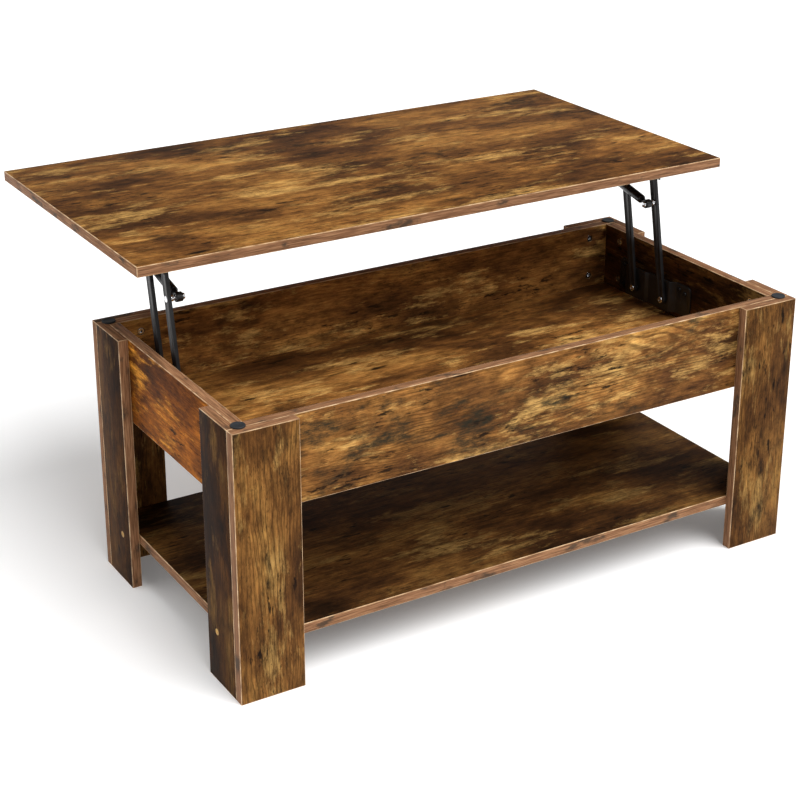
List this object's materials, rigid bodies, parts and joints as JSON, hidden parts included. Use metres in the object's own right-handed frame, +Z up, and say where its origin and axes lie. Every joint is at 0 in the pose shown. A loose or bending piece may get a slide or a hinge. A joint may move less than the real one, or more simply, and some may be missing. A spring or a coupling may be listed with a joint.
{
  "type": "lift top coffee table",
  "caption": "Rectangular coffee table on L-shaped board legs, with an open lower shelf and a top that lifts on parallel arms over a storage box.",
  "frame": {"origin": "on the floor, at the middle of the footprint of the table with its top raised, which is 132 mm behind the middle of the legs", "axes": "+X to the right along the length, +Y to the rear, where the top moves as it rises, +Z up"},
  "size_m": [0.98, 0.7208, 0.5527],
  "materials": {
    "rustic_board": "satin melamine with a rustic brown woodgrain print and matching edge band",
    "black_steel": "satin black powder coat on pressed steel",
    "bright_steel": "bright zinc and chrome plate",
    "black_rubber": "matt"
  },
  "bodies": {
    "base": {"front_apron": "rustic_board", "rear_apron": "rustic_board", "left_apron": "rustic_board", "right_apron": "rustic_board", "storage_floor": "rustic_board", "lower_shelf": "rustic_board", "front_left_leg_face_board": "rustic_board", "front_left_leg_side_board": "rustic_board", "front_right_leg_face_board": "rustic_board", "front_right_leg_side_board": "rustic_board", "rear_left_leg_face_board": "rustic_board", "rear_left_leg_side_board": "rustic_board", "rear_right_leg_face_board": "rustic_board", "rear_right_leg_side_board": "rustic_board", "front_left_pad": "black_rubber", "front_right_pad": "black_rubber", "rear_left_pad": "black_rubber", "rear_right_pad": "black_rubber", "front_apron_left_upper_bolt": "bright_steel", "left_apron_front_upper_bolt": "bright_steel", "front_apron_left_lower_bolt": "bright_steel", "left_apron_front_lower_bolt": "bright_steel", "front_apron_right_upper_bolt": "bright_steel", "right_apron_front_upper_bolt": "bright_steel", "front_apron_right_lower_bolt": "bright_steel", "right_apron_front_lower_bolt": "bright_steel", "rear_apron_left_upper_bolt": "bright_steel", "left_apron_rear_upper_bolt": "bright_steel", "rear_apron_left_lower_bolt": "bright_steel", "left_apron_rear_lower_bolt": "bright_steel", "rear_apron_right_upper_bolt": "bright_steel", "right_apron_rear_upper_bolt": "bright_steel", "rear_apron_right_lower_bolt": "bright_steel", "right_apron_rear_lower_bolt": "bright_steel", "left_base_bracket": "black_steel", "left_front_lower_rivet": "bright_steel", "left_rear_lower_rivet": "bright_steel", "right_base_bracket": "black_steel", "right_front_lower_rivet": "bright_steel", "right_rear_lower_rivet": "bright_steel"},
    "left_front_arm": {"left_front_arm": "black_steel", "left_arm_ball_stud": "bright_steel"},
    "left_rear_arm": {"left_rear_arm": "black_steel"},
    "right_front_arm": {"right_front_arm": "black_steel", "right_arm_ball_stud": "bright_steel"},
    "right_rear_arm": {"right_rear_arm": "black_steel"},
    "top": {"tabletop": "rustic_board", "left_top_bracket": "black_steel", "left_front_upper_rivet": "bright_steel", "left_rear_upper_rivet": "bright_steel", "right_top_bracket": "black_steel", "right_front_upper_rivet": "bright_steel", "right_rear_upper_rivet": "bright_steel"},
    "left_strut_cylinder": {"left_strut_cylinder": "black_steel"},
    "left_strut_rod": {"left_strut_rod": "bright_steel", "left_top_ball_stud": "bright_steel"},
    "right_strut_cylinder": {"right_strut_cylinder": "black_steel"},
    "right_strut_rod": {"right_strut_rod": "bright_steel", "right_top_ball_stud": "bright_steel"}
  },
  "joints": [
    {"name": "right_front_arm_swing", "type": "hinge", "parent": "base", "child": "right_front_arm", "pos_m": [0, -0.10686, 0.3185], "axis": [1, 0, 0], "range_deg": [0, 82.58]},
    {"name": "left_front_arm_swing", "type": "hinge", "parent": "base", "child": "left_front_arm", "pos_m": [0, -0.10686, 0.3185], "axis": [1, 0, 0], "range_deg": [0, 82.58]},
    {"name": "right_rear_arm_swing", "type": "hinge", "parent": "base", "child": "right_rear_arm", "pos_m": [0, -0.03936, 0.3185], "axis": [1, 0, 0], "range_deg": [0, 82.58]},
    {"name": "left_rear_arm_swing", "type": "hinge", "parent": "base", "child": "left_rear_arm", "pos_m": [0, -0.03936, 0.3185], "axis": [1, 0, 0], "range_deg": [0, 82.58]},
    {"name": "top_turn", "type": "hinge", "parent": "right_front_arm", "child": "top", "pos_m": [0, -0.06696, 0.52569], "axis": [1, 0, 0], "range_deg": [-82.58, 0]},
    {"name": "left_strut_swing", "type": "hinge", "parent": "left_front_arm", "child": "left_strut_cylinder", "pos_m": [0, -0.077, 0.47355], "axis": [1, 0, 0], "range_deg": [-92.33, 0]},
    {"name": "left_strut_slide", "type": "slide", "parent": "left_strut_cylinder", "child": "left_strut_rod", "axis": [0, -0.9748, -0.2233], "range_m": [0, 0.06515]},
    {"name": "right_strut_swing", "type": "hinge", "parent": "right_front_arm", "child": "right_strut_cylinder", "pos_m": [0, -0.077, 0.47355], "axis": [1, 0, 0], "range_deg": [-92.33, 0]},
    {"name": "right_strut_slide", "type": "slide", "parent": "right_strut_cylinder", "child": "right_strut_rod", "axis": [0, -0.9748, -0.2233], "range_m": [0, 0.06515]}
  ],
  "couplings": [
    {"joint": "left_front_arm_swing", "follows": "right_front_arm_swing", "ratio": 1},
    {"joint": "right_rear_arm_swing", "follows": "right_front_arm_swing", "ratio": 1},
    {"joint": "left_rear_arm_swing", "follows": "right_front_arm_swing", "ratio": 1},
    {"joint": "top_turn", "follows": "right_front_arm_swing", "ratio": -1},
    {"joint": "left_strut_swing", "follows": "right_front_arm_swing", "ratio": -1.1179},
    {"joint": "left_strut_slide", "follows": "right_front_arm_swing", "m_per_rad": 0.045131},
    {"joint": "right_strut_swing", "follows": "right_front_arm_swing", "ratio": -1.1179},
    {"joint": "right_strut_slide", "follows": "right_front_arm_swing", "m_per_rad": 0.045131}
  ]
}
